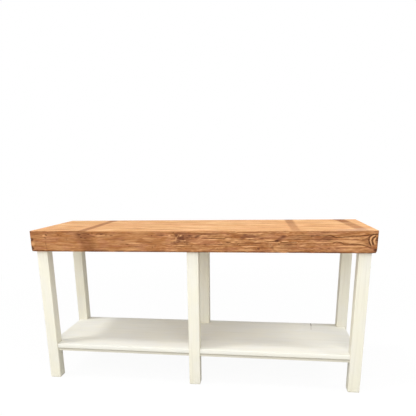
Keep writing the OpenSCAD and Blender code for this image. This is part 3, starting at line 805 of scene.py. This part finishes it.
def makeBoard(node, material, wood, along, inward, origin, halfLength, acrossSpan, mitres, acrossTop):
    # A board as a block net: its length shrinks by its depth at both mitred ends, and its
    # width does the same on each mitred side. The outer skin is then eased with the whole box.
    look = topBoards
    ease = look["easeRadius"] * mm
    acrossLow, acrossHigh = acrossSpan
    mitreLow, mitreHigh = mitres
    width = acrossHigh - acrossLow
    stepAlong, stepAcross = wood.get("step", look["step"])
    us = ruler(2 * halfLength, stepAlong * mm, ease)
    vs = np.array([0, 0.4 * ease, 0.7 * ease, ease, 0.6 * boardDepth, boardDepth])
    ws = ruler(width, stepAcross * mm, ease)
    net, quads = boxNet(us, vs, ws)
    across = np.abs(np.cross(along, inward))

    def place(u, depth, w):
        share = w / width
        x = (u - halfLength) * (halfLength - depth) / halfLength
        z = acrossLow + mitreLow * depth + share * (width - (mitreLow + mitreHigh) * depth)
        return origin + x[:, None] * along + depth[:, None] * inward + z[:, None] * across

    u, depth, w = net.T
    outer = place(u, 0 * depth, w)
    radius = topRadius(outer)
    atEnd = (u <= us[0]) | (u >= us[-1])
    atMitre = atEnd | ((w <= 0) & (mitreLow > 0)) | ((w >= width) & (mitreHigh > 0))
    started = np.where(atMitre & (depth > 0), 0.3 * radius + depth * (1 - 0.3 * radius / boardDepth), depth)
    points = place(u, started, w)
    skin = (depth <= 0) | ((w <= 0) & (mitreLow == 0)) | ((w >= width) & (mitreHigh == 0))
    eased, outward = easeBox(points, boxLow, boxHigh, radius)
    onFace = depth <= 0
    points = np.where((skin & (arrisDistance(points, boxLow, boxHigh) < 0.02))[:, None], eased, points)
    fromEnd, fromTop = u / mm, (acrossLow + w - acrossTop) / mm
    layers = {kind: skin * drawMarks(fromEnd, fromTop, marks) for kind, marks in wood["marks"].items()}
    relief = topRelief(outer) + look["markDepth"] * mm * layers.get("dark", 0)
    for x, z, halfLengthOfKnot, halfWidthOfKnot in wood.get("knots", []):
        far = np.hypot((fromEnd - x) / halfLengthOfKnot, (fromTop - z) / halfWidthOfKnot)
        # A knot's heart is sunk, inside a low swelling at its rim
        heart, rim = np.exp(-(far / 0.55) ** 2), np.exp(-((far - 1.1) / 0.35) ** 2)
        relief = relief + mm * (look["knotDepth"] * heart - look["knotRise"] * rim)
    relief = np.maximum(relief, 0)
    points = points - np.where(onFace[:, None], outward * relief[:, None], 0)
    toSeam = np.where(mitreLow == 0, w, 1.0)
    toSeam = np.minimum(toSeam, np.where(mitreHigh == 0, width - w, 1.0))
    seam = np.clip(1 - toSeam / (look["seamBevel"] * mm), 0, 1) * (inward[2] < 0)
    points = points + inward * np.where(onFace, seam * look["seamBevel"] * mm, 0)[:, None]
    wear = np.where(onFace, 1 - arrisDistance(outer, boxLow, boxHigh) / (look["wearReach"] * mm), 0)
    knocked = np.clip((radius / mm - look["easeRadius"]) / look["chipRadius"], 0, 1)
    layers["wear"] = np.clip(wear, 0, 1) * (0.7 + 0.3 * knocked)
    layers["inside"] = ~skin
    makePiece(node, "_board", points, quads, material, layers)


xAxis, yAxis, zAxis = np.eye(3)
halfX, halfY = boxHigh[0], boxHigh[1]
boxHeight = boxHigh[2] - boxLow[2]
boxFoot = np.array([0, 0, boxLow[2]])
sideBoards = {
    "front_apron": ("front", frontLook, xAxis, yAxis, halfX, halfY),
    "back_apron": ("back", backLook, -xAxis, -yAxis, halfX, halfY),
    "left_end_board": ("left", endLook, -yAxis, xAxis, halfY, halfX),
    "right_end_board": ("right", endLook, yAxis, -xAxis, halfY, halfX)}
for node, (key, wood, along, inward, halfLength, reach) in sideBoards.items():
    origin = boxFoot - reach * inward
    makeBoard(node, finish[key], wood, along, inward, origin, halfLength, (0, boxHeight), (0, 1), boxHeight)
topPlanks = ["top_plank_front", "top_plank_mid_front", "top_plank_mid_back", "top_plank_back"]
for number, node in enumerate(topPlanks):
    plankLow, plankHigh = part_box(node)
    middle = (plankLow.y + plankHigh.y) / 2
    shift = (-low[0] + 0.9 * number, -middle, -high[2])
    look = {**topLook, "pith": (0.0, (0.2, -0.16, 0.15, -0.22)[number], -0.05)}
    material = makeWood(f"paleWoodTop{number + 1}", look, "top", shift)
    mitres = (int(number == 0), int(number == len(topPlanks) - 1))
    span = (plankLow.y, plankHigh.y)
    makeBoard(node, material, look, xAxis, -zAxis, high[2] * zAxis, halfX, span, mitres, high[1])
print("top boards built")


# Legs: eased square posts with a rounder foot

legs = {
    "easeRadius": 2.4,     # round on the long arrises, mm
    "footRadius": 5.0,     # round on the arrises of the foot
    "chipRadius": 1.6,
    "wander": 0.35,
    "wearReach": 7.0,
    "stepAlong": 7.0,
    "stepAcross": 8.0}


def makeLeg(node, seed):
    # A post as a block net, drawn in to its rounds, with a slow wander of its faces
    look = legs
    postLow, postHigh = (np.array(corner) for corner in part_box(node))
    size = postHigh - postLow
    ease = look["easeRadius"] * mm
    sides = ruler(size[0], look["stepAcross"] * mm, ease)
    net, quads = boxNet(sides, sides, ruler(size[2], look["stepAlong"] * mm, ease))
    points = postLow + net
    knocks = twoNoises(points, (0.02, 0.02, 0.03), (0.01, 0.01, 0.012), seed)
    radius = look["easeRadius"] + look["chipRadius"] * np.clip((knocks - 0.5) / 0.6, 0, 1)
    radius += 0.3 * latticeNoise(points, (0.1, 0.1, 0.12), seed + 2)
    footShare = np.clip(1 - net[:, 2] / (3 * look["footRadius"] * mm), 0, 1)
    radius += (look["footRadius"] - radius) * footShare ** 2
    eased, outward = easeBox(points, postLow, postHigh, radius * mm)
    wander = 0.5 + 0.5 * latticeNoise(points, (0.05, 0.05, 0.3), seed + 3)
    sideways = outward * [1, 1, 0]
    points = eased - sideways * (look["wander"] * mm * wander)[:, None]
    wear = 1 - arrisDistance(net, 0, size) / (look["wearReach"] * mm)
    makePiece(node, "_post", points, quads, finish["paintUpright"], {"wear": wear})


for seed, node in enumerate(n for n in sorted(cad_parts) if n.startswith("leg_")):
    makeLeg(node, 40 + 5 * seed)
print("legs built")


# Shelf planks, notched round the legs

shelf = {
    "easeRadius": 1.2,     # round on the shelf's outer arrises, mm
    "seamRadius": 0.4,     # round where two planks meet
    "notchRadius": 0.8,
    "notchPlay": 0.5,      # space between a notch and its leg, as in the solids
    "wearReach": 6.0,      # how far from the shelf's edge its wear shows
    "sag": 0.3,
    "step": 11.0}


def makeShelfPlank(node, seed):
    # A slab of square cells without those in the notches: its faces, its walls wherever a kept
    # cell meets an empty one, and a drop of the faces towards each edge, after a quarter round
    look = shelf
    plankLow, plankHigh = (np.array(corner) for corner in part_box(node))
    play = look["notchPlay"] * mm
    notches = [(np.array(a)[:2] - play, np.array(b)[:2] + play)
               for a, b in (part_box(n) for n in sorted(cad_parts) if n.startswith("leg_"))]
    notches = [(a, b) for a, b in notches if a[1] < plankHigh[1] and b[1] > plankLow[1]]
    shelfLow = np.array(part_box("shelf_plank_front")[0])
    shelfHigh = np.array(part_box("shelf_plank_back")[1])
    near = look["easeRadius"] * mm * np.array([0.0, 0.15, 0.45, 1.0])

    def lines(axis):
        fixed = [plankLow[axis] + near, plankHigh[axis] - near]
        for a, b in notches:
            fixed += [a[axis] - near, b[axis] + near]
        count = round((plankHigh[axis] - plankLow[axis]) / (look["step"] * mm))
        even = np.linspace(plankLow[axis], plankHigh[axis], count + 1)
        fixed = np.concatenate(fixed)
        clear = np.abs(even[:, None] - fixed).min(axis=1) > 1.5 * mm
        every = np.unique(np.round(np.concatenate([fixed, even[clear]]), 7))
        return every[(every >= plankLow[axis] - 1e-7) & (every <= plankHigh[axis] + 1e-7)]

    xs, ys = lines(0), lines(1)
    midX, midY = np.meshgrid((xs[1:] + xs[:-1]) / 2, (ys[1:] + ys[:-1]) / 2, indexing="ij")
    keep = np.ones(midX.shape, bool)
    for a, b in notches:
        keep &= ~((midX > a[0]) & (midX < b[0]) & (midY > a[1]) & (midY < b[1]))
    x, y = np.meshgrid(xs, ys, indexing="ij")

    def drop(distance, radius):
        short = np.clip(radius - distance, 0, radius)
        return radius - np.sqrt(np.maximum(radius ** 2 - short ** 2, 0))

    lowered = np.zeros(x.shape)
    for distance, outer in ((x - plankLow[0], True), (plankHigh[0] - x, True),
                            (y - plankLow[1], plankLow[1] <= shelfLow[1] + mm),
                            (plankHigh[1] - y, plankHigh[1] >= shelfHigh[1] - mm)):
        radius = look["easeRadius" if outer else "seamRadius"] * mm
        lowered = np.maximum(lowered, drop(distance, radius))
    for a, b in notches:
        outsideX = np.maximum(0, np.maximum(a[0] - x, x - b[0]))
        outsideY = np.maximum(0, np.maximum(a[1] - y, y - b[1]))
        lowered = np.maximum(lowered, drop(np.hypot(outsideX, outsideY), look["notchRadius"] * mm))
    flat = np.stack([x.ravel(), y.ravel(), 0 * x.ravel()], 1)
    wave = (0.5 + 0.5 * latticeNoise(flat, (0.3, 0.07, 1.0), seed)).reshape(x.shape) * look["sag"] * mm
    top = plankHigh[2] - lowered - wave
    bottom = plankLow[2] + 0.6 * lowered
    number = np.arange(x.size).reshape(x.shape)
    points = np.concatenate([np.stack([x.ravel(), y.ravel(), z.ravel()], 1) for z in (top, bottom)])

    def cell(table, mask):
        corners = (table[:-1, :-1], table[1:, :-1], table[1:, 1:], table[:-1, 1:])
        return np.stack([corner[mask] for corner in corners], 1)

    quads = [cell(number, keep), cell(number + x.size, keep)[:, ::-1]]
    padded = np.pad(keep, 1)
    for axis in (0, 1):
        kept = padded[1:-1, :] if axis else padded[:, 1:-1]
        before, after = (kept[:, :-1], kept[:, 1:]) if axis else (kept[:-1, :], kept[1:, :])
        first = number[:-1, :] if axis else number[:, :-1]
        second = number[1:, :] if axis else number[:, 1:]
        for mask, flip in ((after & ~before, axis == 0), (before & ~after, axis == 1)):
            a, b = first[mask], second[mask]
            wall = np.stack([a, b, b + x.size, a + x.size], 1)
            quads.append(wall if flip else wall[:, ::-1])
    quads = np.concatenate(quads)
    used, quads = np.unique(quads, return_inverse=True)
    nearX = np.minimum(x - shelfLow[0], shelfHigh[0] - x)
    nearY = np.minimum(y - shelfLow[1], shelfHigh[1] - y)
    wear = np.tile(1 - np.minimum(nearX, nearY).ravel() / (look["wearReach"] * mm), 2)
    makePiece(node, "_slab", points[used], quads.reshape(-1, 4), finish["paintShelf"],
              {"wear": wear[used]})


for seed, node in enumerate(n for n in sorted(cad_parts) if n.startswith("shelf_plank_")):
    makeShelfPlank(node, 80 + seed)
print("shelf built")


# Finishes of the solids that stay as they are

def dress(prefix, key):
    for node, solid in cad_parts.items():
        if node.startswith(prefix):
            solid.data.materials.clear()
            solid.data.materials.append(finish[key])


dress("batten_", "pineAcross")
dress("upper_rail_", "pineAlong")
dress("upper_cross_", "pineAcross")
# The lower rails and cross rails take the paint that is darkened as painted shade
dress("lower_rail_", "paintAlong")
dress("lower_cross_", "paintAcross")
for prefix in ("upper_dowels", "lower_dowels"):
    dress(prefix, "beech")
for prefix in ("batten_screws", "board_screws", "shelf_screws"):
    dress(prefix, "steel")
print("solids dressed")


# Stage: a pale floor that goes over into a white background, soft lamps and the camera

stage = {
    "floorRadius": 14.0, "floorFade": (1.6, 3.6), "floorShare": 0.06,
    "floorColor": rgb(195, 194, 191), "floorSeen": rgb(255, 255, 255), "ambient": 0.39,
    "ambientColor": rgb(253, 254, 255),
    "keyStrength": 0.8, "keyTravel": (0.477, 0.212, -1.0), "keySoftness": 9.0}
# Soft lamps turned to the middle of the object: where they hang, their side in metres and their watts
lamps = {
    "tallFront": ((0.1, -3.4, 2.3), 4.0, 97.0),
    "leftFront": ((-2.8, -3.0, 1.8), 2.0, 17.0),
    "leftHigh": ((-3.0, -0.6, 2.6), 1.6, 19.0),
    "rightHigh": ((3.0, -0.4, 2.8), 1.6, 43.0)}
camera = {
    "position": (0.3492, -2.5371, 1.1565), "yaw": 9.114, "pitch": -15.476, "roll": 1.187,
    "lens": 37.85, "shift": (0.0370, 0.2156)}


def seenRays(tree):
    # 1 where the camera looks, straight or by way of gloss or glass, and 0 for all other light
    rays = tree.nodes.new("ShaderNodeLightPath").outputs
    indirect = calc("MAXIMUM", rays["Is Glossy Ray"], rays["Is Transmission Ray"])
    return calc("MAXIMUM", rays["Is Camera Ray"], indirect)


def blendShaders(tree, output, share, first, second):
    blend = addNode(tree, "ShaderNodeMixShader", {0: share, 1: first.outputs[0], 2: second.outputs[0]})
    addNode(tree, output, {"Surface": blend.outputs[0]})


def makeFloor():
    bpy.ops.mesh.primitive_circle_add(vertices=96, radius=stage["floorRadius"], fill_type="NGON")
    floor = bpy.context.object
    floor.name = "floor"
    material, tree = startMaterial("paleFloor")
    seen = seenRays(tree)
    # Seen it is white with the shadow; what it throws back on the object is grayer
    color = mixColor(seen, stage["floorColor"], stage["floorSeen"])
    diffuse = addNode(tree, "ShaderNodeBsdfDiffuse", {"Color": color})
    glow = addNode(tree, "ShaderNodeEmission", {"Color": (1, 1, 1, 1), "Strength": 1.0})
    distance = vectorCalc("LENGTH", tree.nodes.new("ShaderNodeTexCoord").outputs["Object"])
    glowShare = ramp(distance, *stage["floorFade"], 1 - stage["floorShare"], 1.0)
    blendShaders(tree, "ShaderNodeOutputMaterial", times(seen, glowShare), diffuse, glow)
    floor.data.materials.append(material)


def makeWorld():
    world = bpy.data.worlds.new("softStudio")
    bpy.context.scene.world = world
    world.use_nodes = True
    tree = world.node_tree
    tree.nodes.clear()
    ambient, white = (addNode(tree, "ShaderNodeBackground", {"Color": color, "Strength": strength})
                      for color, strength in ((stage["ambientColor"], stage["ambient"]), ((1, 1, 1, 1), 1.0)))
    blendShaders(tree, "ShaderNodeOutputWorld", seenRays(tree), ambient, white)


def makeLamp(name, kind, turn, place, **settings):
    data = bpy.data.lights.new(name, kind)
    for key, value in settings.items():
        setattr(data, key, value)
    lamp = bpy.data.objects.new(name, data)
    bpy.context.scene.collection.objects.link(lamp)
    lamp.matrix_world = Matrix.Translation(place) @ turn.to_matrix().to_4x4()


def makeCamera():
    data = bpy.data.cameras.new("camera")
    data.lens = camera["lens"]
    data.shift_x, data.shift_y = camera["shift"]
    turn = Matrix.Identity(4)
    for angle, axis in (("yaw", "Z"), ("pitch", "X"), ("roll", "Y")):
        turn = turn @ Matrix.Rotation(math.radians(camera[angle]), 4, axis)
    eye = bpy.data.objects.new("camera", data)
    bpy.context.scene.collection.objects.link(eye)
    level = Matrix.Rotation(math.radians(90), 4, "X")
    eye.matrix_world = Matrix.Translation(camera["position"]) @ turn @ level
    bpy.context.scene.camera = eye


makeFloor()
makeWorld()
makeLamp("key", "SUN", Vector(stage["keyTravel"]).to_track_quat("-Z", "Y"), (-2, -1, 4),
         energy=stage["keyStrength"], angle=math.radians(stage["keySoftness"]))
for name, (place, size, watts) in lamps.items():
    facing = (Vector((0, 0, 0.5)) - Vector(place)).to_track_quat("-Z", "Y")
    makeLamp(name, "AREA", facing, place, energy=watts, size=size)
makeCamera()
bpy.context.scene.view_settings.view_transform = "Standard"
print("stage set")
